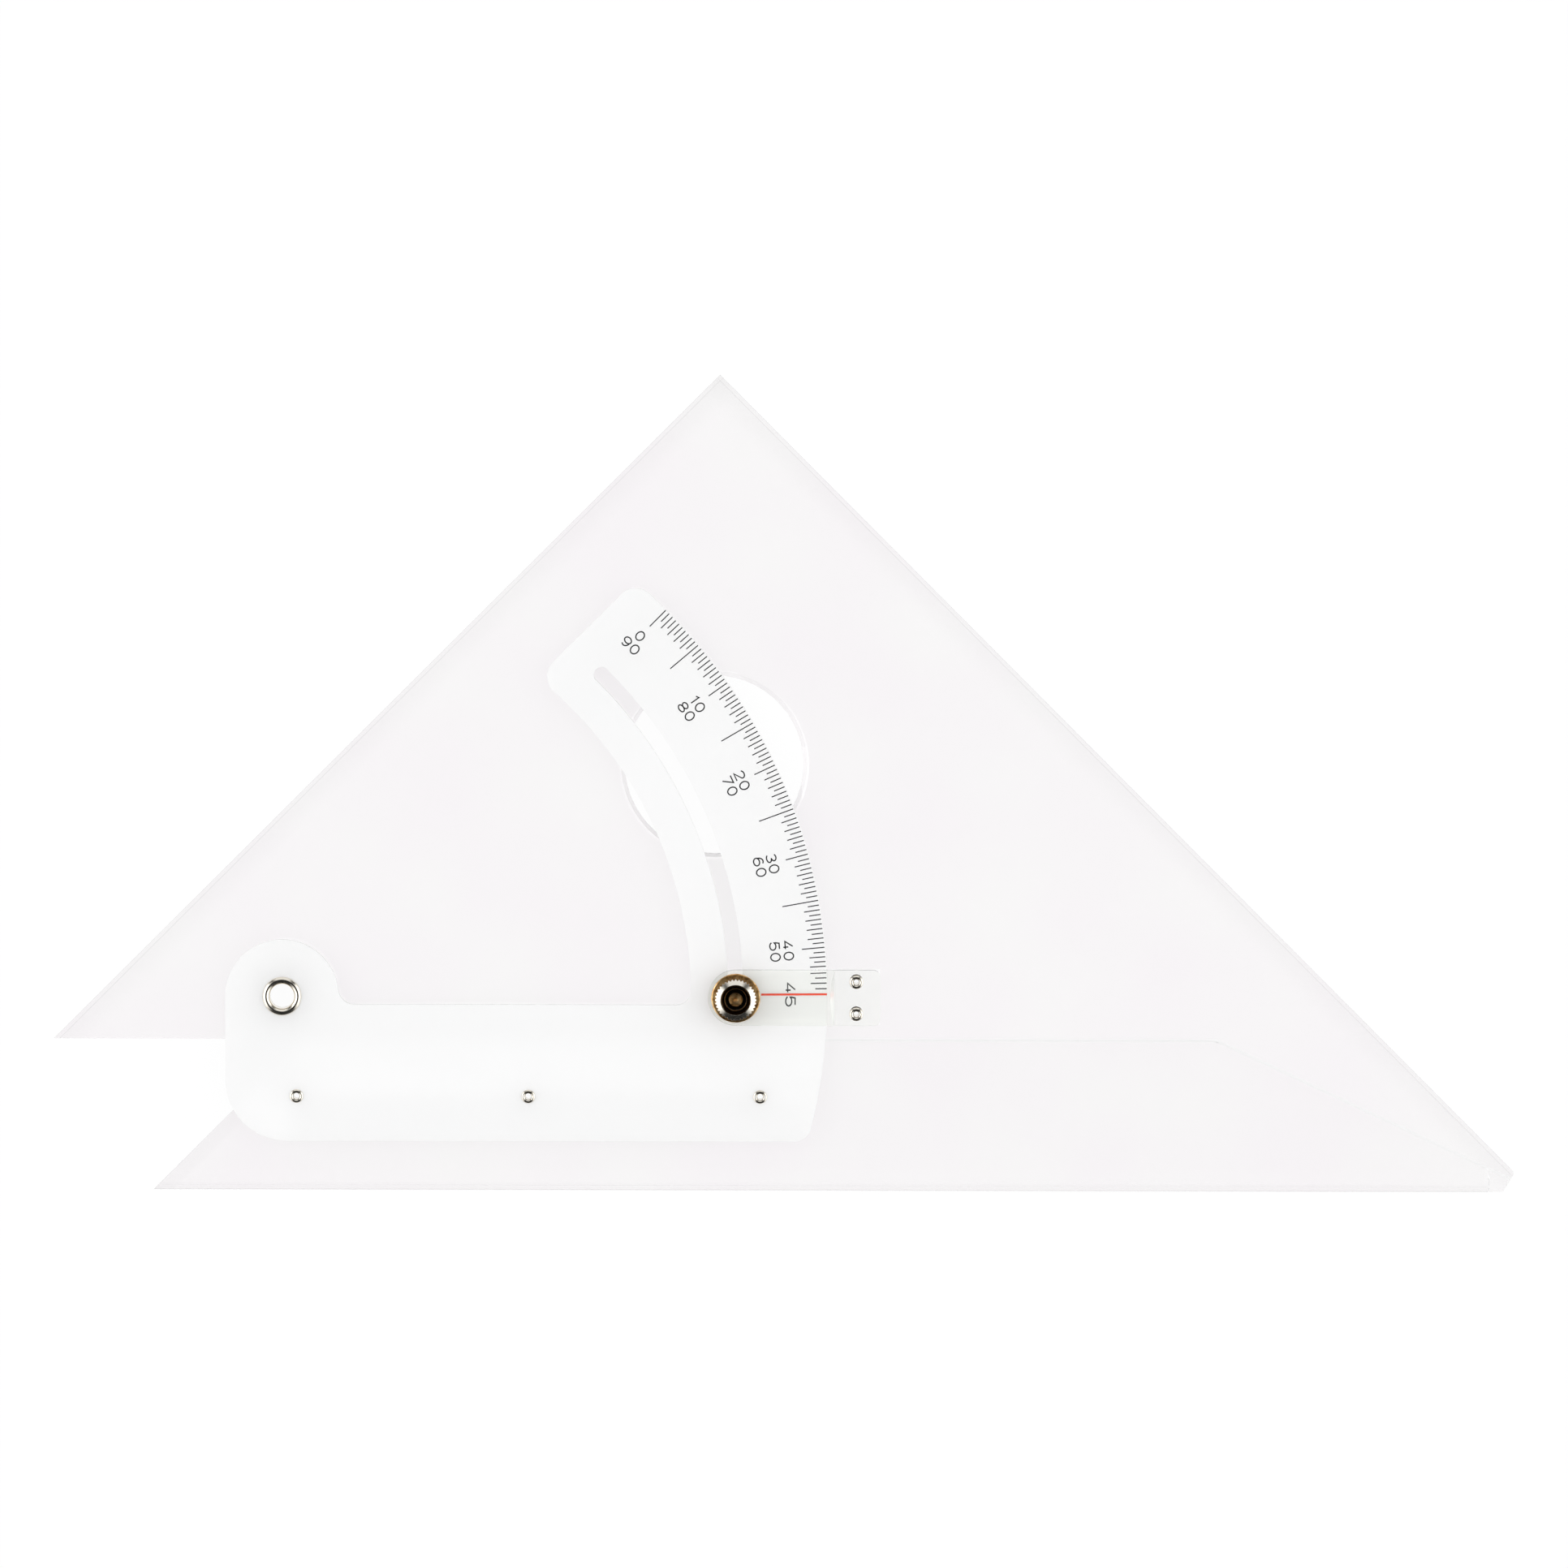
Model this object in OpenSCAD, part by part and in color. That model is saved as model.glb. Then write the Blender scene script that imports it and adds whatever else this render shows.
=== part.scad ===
// Adjustable set square.
// A clear triangle turns on a clear base ruler through 45 degrees. An opal arm, riveted to the ruler, carries
// the pivot and a slotted arc. A clear window on the triangle bridges the arc, with a lens over the hairline,
// and a knurled nut clamps it there.
// Millimetres. The origin is the pivot's axis on the resting plane, +X runs along the ruler, +Y points to the
// side of the apex and +Z is up.

/* [Plates] */
// Thickness of the base ruler
plate_t = 3; // [2.6:0.1:4]
// Distance from the pivot to the edge of the triangle's left leg
left_edge_d = 28.9; // [24:0.1:36]
// Distance from the pivot to the edge of the triangle's right leg
right_edge_d = 165.3; // [155:0.1:180]
// Distance from the pivot down to the seam between triangle and ruler
seam_d = 9.7; // [9:0.1:11]
// Width of the seam
seam_gap = 0.2; // [0.15:0.05:0.4]
// Width of the ruler, from the seam to its working edge
ruler_w = 33.2; // [30:0.1:38]
// Length over which the ruler tapers to its nose
taper_run = 60; // [40:1:80]
// Height of the ruler's blunt nose
nose_h = 5; // [3:0.1:8]
// How far the ruler stops short of the triangle's sharp tip
nose_back = 10.1; // [9:0.1:14]
// How far back the triangle's sharp tip is cut off, along the base
tip_back = 6.8; // [5:0.1:8]
// Slope of that cut, from the base
tip_cut_angle = 60; // [50:1:80]
// Radius of the bend where the ruler's taper begins
knee_r = 12; // [4:0.5:20]
// Radius of the small corners at the nose and the tip
tip_r = 0.9; // [0.5:0.1:1.2]
// Width of the step under each drawing edge, which keeps ink off the paper
ink_step_w = 0.9; // [0.5:0.1:1.5]
// Height of that step
ink_step_h = 0.8; // [0.4:0.1:1.2]

/* [Finger hole] */
// Radius of the finger hole in the triangle
finger_r = 19.7; // [15:0.1:20]
// Distance of its centre from the pivot, along X
finger_x = 95.3; // [92:0.1:99]
// Distance of its centre from the pivot, along Y
finger_y = 51.3; // [48:0.1:54]
// Width of the bevel round its rims
finger_bevel_w = 1.3; // [0.5:0.1:1.6]
// Height of that bevel
finger_bevel_h = 0.7; // [0.3:0.1:1]

/* [Arm] */
// Thickness of the arm
arm_t = 2; // [1.5:0.1:3]
// Radius of the lug round the pivot
lug_r = 12.5; // [11:0.1:14]
// Distance from the pivot down to the bar's upper edge
bar_top_d = 1.8; // [1:0.1:4]
// Distance from the pivot down to the bar's lower edge
bar_low_d = 32; // [28:0.1:34]
// Inner radius of the arc
arc_in_r = 90.3; // [86:0.1:92]
// Outer radius of the arc, where the scale's marks end
arc_out_r = 120.4; // [118:0.1:124]
// Radius of the slot's centre line
slot_r = 100.2; // [98:0.1:103]
// Width of the slot
slot_w = 3.4; // [3.3:0.05:4]
// Swing of the triangle between its stops, in degrees
swing = 45; // [30:1:45]
// How far the arc runs on beyond the last mark
overhang = 10; // [7:0.1:12]
// Radius of the corner below the lug
heel_r = 13.5; // [8:0.5:16]
// Radius of the corner at the bar's other end
toe_r = 4; // [2:0.1:6]
// Radius of the corners at the arc's free end
end_r = 4.4; // [2:0.1:6]
// Radius of the hollow between lug and bar
lug_web_r = 3.5; // [2:0.1:5]
// Radius of the hollow between bar and arc
bar_web_r = 3.2; // [2:0.1:5]

/* [Pivot] */
// Bore of the hollow eyelet
eyelet_bore_d = 5.4; // [5:0.1:5.8]
// Thickness of the eyelet's wall
eyelet_wall = 0.4; // [0.3:0.05:0.5]
// Diameter of its rolled flange
eyelet_flange_d = 8.7; // [8:0.1:9.5]
// Height of the flange above the arm
eyelet_flange_h = 0.6; // [0.4:0.05:0.8]
// Diameter of the washer under the triangle
pivot_washer_d = 12.4; // [11:0.1:13]
// Thickness of that washer
pivot_washer_t = 0.4; // [0.3:0.05:0.5]

/* [Rivets] */
// Diameter of a rivet's head
rivet_head_d = 3.05; // [2.8:0.05:3.4]
// Diameter of a rivet's shank
rivet_shank_d = 2; // [1.8:0.05:2.2]
// Bore of the three rivets in the arm
arm_rivet_bore_d = 1.4; // [1:0.05:1.5]
// Bore of the two rivets in the window
cursor_rivet_bore_d = 1.25; // [1:0.05:1.5]
// Distance of the first arm rivet from the pivot, along X
arm_rivet_x = 3.2; // [0:0.1:8]
// Spacing of the arm rivets
arm_rivet_pitch = 51.2; // [40:0.1:52]
// Distance of the arm rivets below the pivot
arm_rivet_d = 22.1; // [18:0.1:24]
// Spacing of the two window rivets
cursor_rivet_pitch = 7.1; // [6:0.1:7.5]

/* [Window] */
// Width of the window strip
cursor_w = 12.3; // [11.5:0.1:14]
// Thickness of the window strip
cursor_t = 2; // [1.6:0.1:2.6]
// Gap between the arc's edge and the spacer
spacer_gap = 1.1; // [0.6:0.1:1.5]
// Length of the spacer under the strip's outer end
spacer_l = 10.6; // [9:0.1:12]
// Radius of the corners at that end
cursor_corner_r = 1.5; // [0.8:0.1:2]
// Distance from the nut's axis to the lens, which magnifies the marks beside the hairline
lens_start = 5.6; // [5.6:0.1:7]
// Height of the lens along its crown, above the window's underside
lens_h = 4.6; // [3.6:0.1:5.4]
// How far the lens runs on over the spacer
lens_over = 0.5; // [0:0.1:1]
// Lean of its outer end, from upright
lens_lean = 20; // [5:1:35]

/* [Clamp] */
// Diameter of the clamp screw
screw_d = 3; // [2.8:0.05:3]
// Diameter of the screw's head, let into the triangle's underside
screw_head_d = 5.6; // [5:0.1:6]
// Thickness of the screw's head
screw_head_t = 1.2; // [1:0.05:1.4]
// Diameter of the washer under the nut
clamp_washer_d = 10.8; // [10:0.1:11]
// Thickness of that washer
clamp_washer_t = 0.8; // [0.5:0.1:1.2]
// Diameter of the nut over its knurls
nut_d = 9.1; // [8.6:0.1:9.8]
// Height of the nut
nut_h = 5.7; // [5:0.1:7]
// Height of its knurled wall, below the cone
knurl_h = 4.9; // [3:0.1:4.9]
// Number of knurls
knurl_count = 36; // [24:1:48]
// Depth of the knurls
knurl_depth = 0.35; // [0.2:0.05:0.5]
// Diameter of the dish's rim
dish_rim_d = 6.6; // [6:0.1:6.8]
// Diameter of the well at the bottom of the dish
well_d = 4.7; // [4.2:0.1:5.2]

/* [Hidden] */
$fn = 128;

clear_tint = [0.92, 0.93, 0.95, 0.55];
opal_tint = "white";
nickel_tint = "silver";
brass_tint = "#b08a4a";

// Play between pieces
slide_gap = 0.1; // between the arm and the triangle below it or the window above it
turn_play = 0.08; // round the eyelet, all the way round
shank_play = 0.03; // round a rivet or the eyelet in a piece that it holds
screw_play = 0.1; // round the screw in a plain hole
thread_play = 0.05; // round the screw in the nut
face_gap = 0.02; // between faces that turn or lift apart

// Levels, from the table upwards
triangle_t = plate_t - slide_gap;
arm_top = plate_t + arm_t;
cursor_z = arm_top + slide_gap;
cursor_top = cursor_z + cursor_t;
clamp_washer_z = cursor_top + face_gap;
nut_z = clamp_washer_z + clamp_washer_t + face_gap;

// Rolled ends under the plates stay this high above the table
lift = 0.3;
roll_r = 0.5;
rivet_roll_r = 0.4;
eyelet_r = eyelet_bore_d / 2 + eyelet_wall;
pivot_pocket_r = pivot_washer_d / 2 + 0.4;
pivot_pocket_h = lift + roll_r + pivot_washer_t + turn_play;
rivet_pocket_r = 1.8;
rivet_pocket_h = lift + rivet_roll_r;

// The outer edges, on lines at 45 degrees that lie left_edge_d and right_edge_d from the pivot
base_y = -(seam_d + seam_gap / 2 + ruler_w);
ruler_top_y = -(seam_d + seam_gap / 2);
triangle_low_y = ruler_top_y + seam_gap;
sharp_tip_x = right_edge_d * sqrt(2) - base_y;
left_tip_x = triangle_low_y - left_edge_d * sqrt(2);
apex = [right_edge_d - left_edge_d, right_edge_d + left_edge_d] / sqrt(2);

// The ruler's left end, parallel to the triangle's lower edge once that has swung up
stop_gap = 0.75;
ruler_cut_x = (seam_d - seam_gap / 2 + stop_gap) * sqrt(2);

// The seam: level, then down the taper, then upright at the nose
ruler_end = sharp_tip_x - nose_back;
taper_start = ruler_end - taper_run;
nose_top_y = base_y + nose_h;
taper_angle = atan2(ruler_top_y - nose_top_y, taper_run);
knee_to_seam = tan(taper_angle / 2);
knee_to_nose = tan((90 - taper_angle) / 2);
knee_at = [taper_start - knee_r * knee_to_seam, ruler_top_y - knee_r];
nose_at = [ruler_end - tip_r, nose_top_y - tip_r * knee_to_nose];

// The cut tip of the triangle
tip_low = [sharp_tip_x - tip_back, base_y];
tip_cut_l = tip_back * sin(45) / sin(135 - tip_cut_angle);
tip_high = tip_low + tip_cut_l * [cos(tip_cut_angle), sin(tip_cut_angle)];

// The window, along the X axis at rest
cursor_end = arc_out_r + spacer_gap + spacer_l;
cursor_rivet_x = cursor_end - spacer_l / 2;

// The lens: its sides are flush with the strip's, and a hair higher
lens_rise = lens_h - cursor_t - 0.1;
lens_r = (lens_rise * lens_rise + cursor_w * cursor_w / 4) / (2 * lens_rise);
lens_axis_z = cursor_z + lens_h - lens_r;
lens_x = [slot_r + lens_start, arc_out_r + spacer_gap + lens_over];

// The screw
screw_head_z = lift;
screw_seat_z = screw_head_z + screw_head_t;
screw_top = nut_z + nut_h - 1.3;

// A slice of plane between two directions, wide enough to hold a round corner of the given radius
module wedge(from, to, reach) {
  middle = (from + to) / 2;
  corner = reach / cos((to - from) / 2);
  polygon([
    [0, 0],
    reach * [cos(from), sin(from)],
    corner * [cos(middle), sin(middle)],
    reach * [cos(to), sin(to)]
  ]);
}

// What a sharp corner has outside its round one. It is taken off an outer corner and added to an inner one.
module corner_web(at, r, from, to) {
  translate(at)
    difference() {
      wedge(from, to, 1.3 * r);
      circle(r = r);
    }
}

module ring(inner_r, outer_r) {
  difference() {
    circle(r = outer_r);
    circle(r = inner_r);
  }
}

// A tube through a stack of plates, rolled outwards over both faces of the stack
module rolled_tube(bore_r, shank_r, head_r, head_h, top_z, low_z, low_roll_r) {
  head_roll_r = (head_r - bore_r) / 2;
  head_roll_z = top_z + head_h - head_roll_r;
  rotate_extrude() {
    translate([bore_r, low_z])
      square([shank_r - bore_r, head_roll_z - low_z]);
    difference() {
      translate([bore_r + head_roll_r, head_roll_z])
        circle(r = head_roll_r, $fn = 48);
      translate([bore_r - 1, head_roll_z - 2 * head_roll_r])
        square([2 + 2 * head_roll_r, 2 * head_roll_r]);
      translate([shank_r, head_roll_z - head_roll_r])
        square([head_r, top_z - head_roll_z + head_roll_r]);
    }
    difference() {
      translate([bore_r + low_roll_r, low_z])
        circle(r = low_roll_r, $fn = 48);
      translate([bore_r - 1, low_z])
        square(2 + 2 * low_roll_r);
    }
  }
}

// Hole for a rivet through a plate, with a pocket for its rolled end where the plate lies at the bottom
module rivet_hole(pocket = false) {
  translate([0, 0, -1])
    cylinder(d = rivet_shank_d + 2 * shank_play, h = cursor_top + 2);
  if (pocket)
    translate([0, 0, -1])
      cylinder(r = rivet_pocket_r, h = rivet_pocket_h + 1);
}

module at_arm_rivet(number) {
  translate([arm_rivet_x + number * arm_rivet_pitch, -arm_rivet_d])
    children();
}

module at_cursor_rivet(side) {
  translate([cursor_rivet_x, side * cursor_rivet_pitch / 2])
    children();
}

module arm_rivet(number) {
  color(nickel_tint)
    at_arm_rivet(number)
      rolled_tube(
        arm_rivet_bore_d / 2, rivet_shank_d / 2, rivet_head_d / 2, rivet_roll_r, arm_top, rivet_pocket_h,
        rivet_roll_r
      );
}

module cursor_rivet(side) {
  color(nickel_tint)
    at_cursor_rivet(side)
      rolled_tube(
        cursor_rivet_bore_d / 2, rivet_shank_d / 2, rivet_head_d / 2, rivet_roll_r, cursor_top,
        rivet_pocket_h, rivet_roll_r
      );
}

// Ruler: a strip with a slanted left end, a long taper and a blunt nose
module base_ruler_outline() {
  difference() {
    polygon([
      [base_y + ruler_cut_x, base_y],
      [ruler_end, base_y],
      [ruler_end, nose_top_y],
      [taper_start, ruler_top_y],
      [ruler_top_y + ruler_cut_x, ruler_top_y]
    ]);
    corner_web(knee_at, knee_r, 90 - taper_angle, 90);
    corner_web(nose_at, tip_r, 0, 90 - taper_angle);
  }
}

module base_ruler() {
  ruler_l = ruler_end - base_y;
  color(clear_tint)
    difference() {
      linear_extrude(plate_t)
        base_ruler_outline();
      translate([base_y - ruler_l, base_y - 1, -1])
        cube([3 * ruler_l, ink_step_w + 1, ink_step_h + 1]);
      for (number = [0:2])
        at_arm_rivet(number)
          rivet_hole(pocket = true);
    }
}

// Triangle: follows the ruler's seam, one gap above it
module triangle_outline() {
  difference() {
    union() {
      polygon([
        [left_tip_x, triangle_low_y],
        [taper_start + seam_gap * knee_to_seam, triangle_low_y],
        [ruler_end + seam_gap, nose_top_y + seam_gap * knee_to_nose],
        [ruler_end + seam_gap, base_y],
        tip_low,
        tip_high,
        apex
      ]);
      corner_web(knee_at, knee_r + seam_gap, 90 - taper_angle, 90);
      corner_web(nose_at, tip_r + seam_gap, 0, 90 - taper_angle);
    }
    corner_web(
      tip_low + tip_r * [-tan(tip_cut_angle / 2), 1], tip_r, -90, tip_cut_angle - 90
    );
    corner_web(tip_high - tip_high_inset() * [cos(tip_high_bisector()), sin(tip_high_bisector())], tip_r,
      tip_cut_angle - 90, 45);
  }
}

function tip_high_bisector() = (tip_cut_angle - 45) / 2;
function tip_high_inset() = tip_r / cos((135 - tip_cut_angle) / 2);

// The step under one leg, in the frame turned by 45 degrees in which the legs lie along X and Y
module ink_step(from, size) {
  rotate([0, 0, 45])
    translate([from[0], from[1], -1])
      cube([size[0], size[1], ink_step_h + 1]);
}

module triangle_plate() {
  span = 2 * (left_edge_d + right_edge_d);
  color(clear_tint)
    difference() {
      linear_extrude(triangle_t)
        triangle_outline();
      ink_step([-span, left_edge_d - ink_step_w], [2 * span, span]);
      ink_step([right_edge_d - ink_step_w, -span], [span, 2 * span]);
      translate([finger_x, finger_y, -1])
        cylinder(r = finger_r, h = triangle_t + 2);
      translate([finger_x, finger_y, triangle_t - finger_bevel_h])
        cylinder(r1 = finger_r, r2 = finger_r + finger_bevel_w, h = finger_bevel_h);
      translate([finger_x, finger_y])
        cylinder(r1 = finger_r + finger_bevel_w, r2 = finger_r, h = finger_bevel_h);
      translate([0, 0, -1])
        cylinder(r = eyelet_r + turn_play, h = triangle_t + 2);
      translate([0, 0, -1])
        cylinder(r = pivot_pocket_r, h = pivot_pocket_h + 1);
      translate([slot_r, 0, -1])
        cylinder(d = screw_d + 2 * screw_play, h = triangle_t + 2);
      translate([slot_r, 0, -1])
        cylinder(d = screw_head_d + 2 * screw_play, h = screw_seat_z + 1);
      for (side = [-1, 1])
        at_cursor_rivet(side)
          rivet_hole(pocket = true);
    }
}

// Arm: lug, bar and arc in one flat outline
module scale_arm_outline() {
  reach = 2 * arc_out_r;
  lug_web = fillet_between_circle_and_line(lug_r + lug_web_r, lug_web_r - bar_top_d);
  bar_web = fillet_between_circle_and_line(arc_in_r - bar_web_r, bar_web_r - bar_top_d);
  toe = fillet_between_circle_and_line(arc_out_r - toe_r, toe_r - bar_low_d);
  end_out = fillet_between_circle_and_line(arc_out_r - end_r, overhang - end_r);
  end_in = fillet_between_circle_and_line(arc_in_r + end_r, overhang - end_r);
  difference() {
    union() {
      circle(r = lug_r);
      translate([-lug_r, -bar_low_d])
        square([lug_r, bar_low_d]);
      intersection() {
        circle(r = arc_out_r);
        translate([0, -bar_low_d])
          square([reach, bar_low_d - bar_top_d]);
      }
      intersection() {
        ring(arc_in_r, arc_out_r);
        translate([0, -bar_low_d])
          square(reach);
        rotate(swing)
          translate([0, -reach])
            square([reach, reach + overhang]);
      }
      corner_web(lug_web, lug_web_r, 180 + angle_of(lug_web), 270);
      corner_web(bar_web, bar_web_r, 270, 360 + angle_of(bar_web));
    }
    corner_web([heel_r - lug_r, heel_r - bar_low_d], heel_r, 180, 270);
    corner_web(toe, toe_r, 270, 360 + angle_of(toe));
    rotate(swing) {
      corner_web(end_out, end_r, angle_of(end_out), 90);
      corner_web(end_in, end_r, 90, 180 + angle_of(end_in));
    }
  }
}

// Centre of a corner circle that lies at one distance from the pivot and at one height above its X axis
function fillet_between_circle_and_line(distance, height) = [sqrt(distance * distance - height * height), height];
function angle_of(point) = atan2(point[1], point[0]);

// Slot for the clamp screw, a little longer than the swing, with ends drilled a hair wider than it is milled
module arm_slot() {
  slot_spare = 0.3;
  end_d = slot_w + 0.1;
  intersection() {
    ring(slot_r - slot_w / 2, slot_r + slot_w / 2);
    wedge(-slot_spare, swing + slot_spare, 1.2 * slot_r);
  }
  for (end = [-slot_spare, swing + slot_spare])
    rotate(end)
      translate([slot_r, 0])
        circle(d = end_d);
}

module scale_arm() {
  color(opal_tint)
    translate([0, 0, plate_t])
      difference() {
        linear_extrude(arm_t)
          difference() {
            scale_arm_outline();
            arm_slot();
          }
        translate([0, 0, -1])
          cylinder(r = eyelet_r + shank_play, h = arm_t + 2);
        for (number = [0:2])
          at_arm_rivet(number)
            rivet_hole();
      }
}

module pivot_eyelet() {
  color(nickel_tint)
    rolled_tube(
      eyelet_bore_d / 2, eyelet_r, eyelet_flange_d / 2, eyelet_flange_h, arm_top, lift + roll_r, roll_r
    );
}

module pivot_washer() {
  color(nickel_tint)
    translate([0, 0, lift + roll_r])
      linear_extrude(pivot_washer_t)
        ring(eyelet_r + shank_play, pivot_washer_d / 2);
}

module cursor_spacer() {
  corner_x = spacer_l / 2 - cursor_corner_r;
  corner_y = cursor_w / 2 - cursor_corner_r;
  color(clear_tint)
    difference() {
      translate([cursor_rivet_x, 0, triangle_t])
        linear_extrude(cursor_z - triangle_t)
          difference() {
            square([spacer_l, cursor_w], center = true);
            for (turn = [0, 180])
              rotate(turn) {
                corner_web([corner_x, corner_y], cursor_corner_r, 0, 90);
                corner_web([corner_x, -corner_y], cursor_corner_r, -90, 0);
              }
          }
      for (side = [-1, 1])
        at_cursor_rivet(side)
          rivet_hole();
    }
}

// Plano-convex lens, round across the hairline, with an upright end by the nut and a leaning one by the rivets
module cursor_lens() {
  lean_run = (lens_h - cursor_t) * tan(lens_lean);
  intersection() {
    translate([lens_x[0] - 1, 0, lens_axis_z])
      rotate([0, 90, 0])
        cylinder(r = lens_r, h = lens_x[1] - lens_x[0] + 2);
    rotate([90, 0, 0])
      linear_extrude(cursor_w, center = true)
        polygon([
          [lens_x[0], cursor_z],
          [lens_x[1], cursor_z],
          [lens_x[1], cursor_top],
          [lens_x[1] - lean_run, cursor_z + lens_h],
          [lens_x[0], cursor_z + lens_h]
        ]);
  }
}

module cursor_window() {
  corner_x = cursor_end - cursor_corner_r;
  corner_y = cursor_w / 2 - cursor_corner_r;
  color(clear_tint)
    difference() {
      union() {
        translate([0, 0, cursor_z])
          linear_extrude(cursor_t)
            difference() {
              union() {
                translate([slot_r, 0])
                  circle(d = cursor_w);
                translate([slot_r, -cursor_w / 2])
                  square([cursor_end - slot_r, cursor_w]);
              }
              corner_web([corner_x, corner_y], cursor_corner_r, 0, 90);
              corner_web([corner_x, -corner_y], cursor_corner_r, -90, 0);
            }
        cursor_lens();
      }
      translate([slot_r, 0, cursor_z - 1])
        cylinder(d = screw_d + 2 * screw_play, h = cursor_t + 2);
      for (side = [-1, 1])
        at_cursor_rivet(side)
          rivet_hole();
    }
}

// Screw: slotted cheese head below, turned and dimpled end above
module clamp_screw() {
  screw_r = screw_d / 2;
  head_r = screw_head_d / 2;
  tip_bevel = 0.45;
  dimple = 0.5;
  slot_depth = 0.6;
  head_slot_w = 0.8;
  color(brass_tint)
    translate([slot_r, 0])
      difference() {
        rotate_extrude()
          polygon([
            [0, screw_head_z],
            [head_r, screw_head_z],
            [head_r, screw_seat_z],
            [screw_r, screw_seat_z],
            [screw_r, screw_top - tip_bevel],
            [screw_r - tip_bevel, screw_top],
            [dimple, screw_top],
            [0, screw_top - dimple]
          ]);
        translate([-head_r - 1, -head_slot_w / 2, screw_head_z - 1])
          cube([2 * head_r + 2, head_slot_w, slot_depth + 1]);
      }
}

module clamp_washer() {
  bevel = 0.15;
  inner_r = screw_d / 2 + screw_play;
  outer_r = clamp_washer_d / 2;
  color(brass_tint)
    translate([slot_r, 0, clamp_washer_z])
      rotate_extrude()
        polygon([
          [inner_r, 0],
          [outer_r - bevel, 0],
          [outer_r, bevel],
          [outer_r, clamp_washer_t - bevel],
          [outer_r - bevel, clamp_washer_t],
          [inner_r, clamp_washer_t]
        ]);
}

// Nut: a turned blank with a cone, a dish and a well, cut to knurls round its wall
module nut_blank() {
  bevel = 0.3;
  lip = 0.1;
  well_bevel = 0.15;
  well_floor = 3 * nut_h / 5.7;
  dish_floor = 3.95 * nut_h / 5.7;
  bore_r = screw_d / 2 + thread_play;
  rotate_extrude()
    polygon([
      [bore_r, 0],
      [nut_d / 2 - bevel, 0],
      [nut_d / 2, bevel],
      [nut_d / 2, knurl_h],
      [dish_rim_d / 2 + lip, nut_h],
      [dish_rim_d / 2, nut_h],
      [well_d / 2 + well_bevel, dish_floor],
      [well_d / 2, dish_floor - well_bevel],
      [well_d / 2, well_floor],
      [bore_r, well_floor]
    ]);
}

// The ridges reach past the blank, which leaves each of them a narrow land
module knurl_outline() {
  turn = 180 / knurl_count;
  land = 0.06;
  tip_and_root = [nut_d / 2 + land, nut_d / 2 - knurl_depth];
  polygon([for (i = [0:2 * knurl_count - 1]) tip_and_root[i % 2] * [cos(i * turn), sin(i * turn)]]);
}

module clamp_nut() {
  color(nickel_tint)
    translate([slot_r, 0, nut_z])
      intersection() {
        nut_blank();
        linear_extrude(nut_h)
          knurl_outline();
      }
}

base_ruler();
scale_arm();
arm_rivet(0);  // arm_rivet_left
arm_rivet(1);  // arm_rivet_middle
arm_rivet(2);  // arm_rivet_right
pivot_eyelet();
pivot_washer();
triangle_plate();
cursor_spacer();
cursor_window();
cursor_rivet(1);  // cursor_rivet_upper
cursor_rivet(-1);  // cursor_rivet_lower
clamp_screw();
clamp_washer();
clamp_nut();
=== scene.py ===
import math

import bpy
import numpy as np
from mathutils import Matrix


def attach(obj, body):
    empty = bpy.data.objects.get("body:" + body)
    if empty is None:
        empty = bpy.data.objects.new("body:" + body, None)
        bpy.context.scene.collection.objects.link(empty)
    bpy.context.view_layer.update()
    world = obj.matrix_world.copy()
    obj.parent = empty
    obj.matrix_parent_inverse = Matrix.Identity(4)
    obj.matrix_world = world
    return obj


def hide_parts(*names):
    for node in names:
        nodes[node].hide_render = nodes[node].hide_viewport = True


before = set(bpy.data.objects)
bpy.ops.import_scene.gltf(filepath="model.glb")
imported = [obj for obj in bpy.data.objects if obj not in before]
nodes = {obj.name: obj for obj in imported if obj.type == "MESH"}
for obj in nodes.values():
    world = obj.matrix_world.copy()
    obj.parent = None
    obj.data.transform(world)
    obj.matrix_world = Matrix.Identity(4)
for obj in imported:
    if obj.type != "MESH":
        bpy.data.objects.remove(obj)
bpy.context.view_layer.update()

mm = 0.001
print("CAD frame loaded:", len(nodes), "nodes")


# sRGB to linear: a channel over 12.92 up to 0.04045, above that ((channel + 0.055) / 1.055) to the power 2.4
def hexColour(text):
    channels = np.array([int(text[i : i + 2], 16) for i in (1, 3, 5)]) / 255
    linear = np.where(channels <= 0.04045, channels / 12.92, ((channels + 0.055) / 1.055) ** 2.4)
    return (*linear.tolist(), 1.0)


# Adds a node. A name in small letters is one of the node's own settings, "stops" are a ramp's positions and
# colours, and other names and numbers are sockets.
def addNode(tree, kind, settings=None, links=None):
    node = tree.nodes.new(kind)
    for name, value in (settings or {}).items():
        if name == "stops":
            elements = node.color_ramp.elements
            while len(elements) < len(value):
                elements.new(0.5)
            for element, (position, colour) in zip(elements, value):
                element.position, element.color = position, colour
        elif isinstance(name, str) and name[0].islower():
            setattr(node, name, value)
        else:
            node.inputs[name].default_value = value
    for name, source in (links or {}).items():
        tree.links.new(source, node.inputs[name])
    return node


def newMaterial(name):
    material = bpy.data.materials.new(name)
    material.use_nodes = True
    material.node_tree.nodes.clear()
    return material, material.node_tree


camera = {
    "aim": (110.73, 46.88, 0),  # mm, what the middle of the picture shows
    "lean": 173,  # mm that the camera stands towards +Y of that
    "height": 2700,
    "frame": 346.4,  # mm that the picture is wide, at the aim
    "roll": 0.13,  # degrees
    "sensor": 36,
    "clip": (0.1, 20),  # m
}


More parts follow.
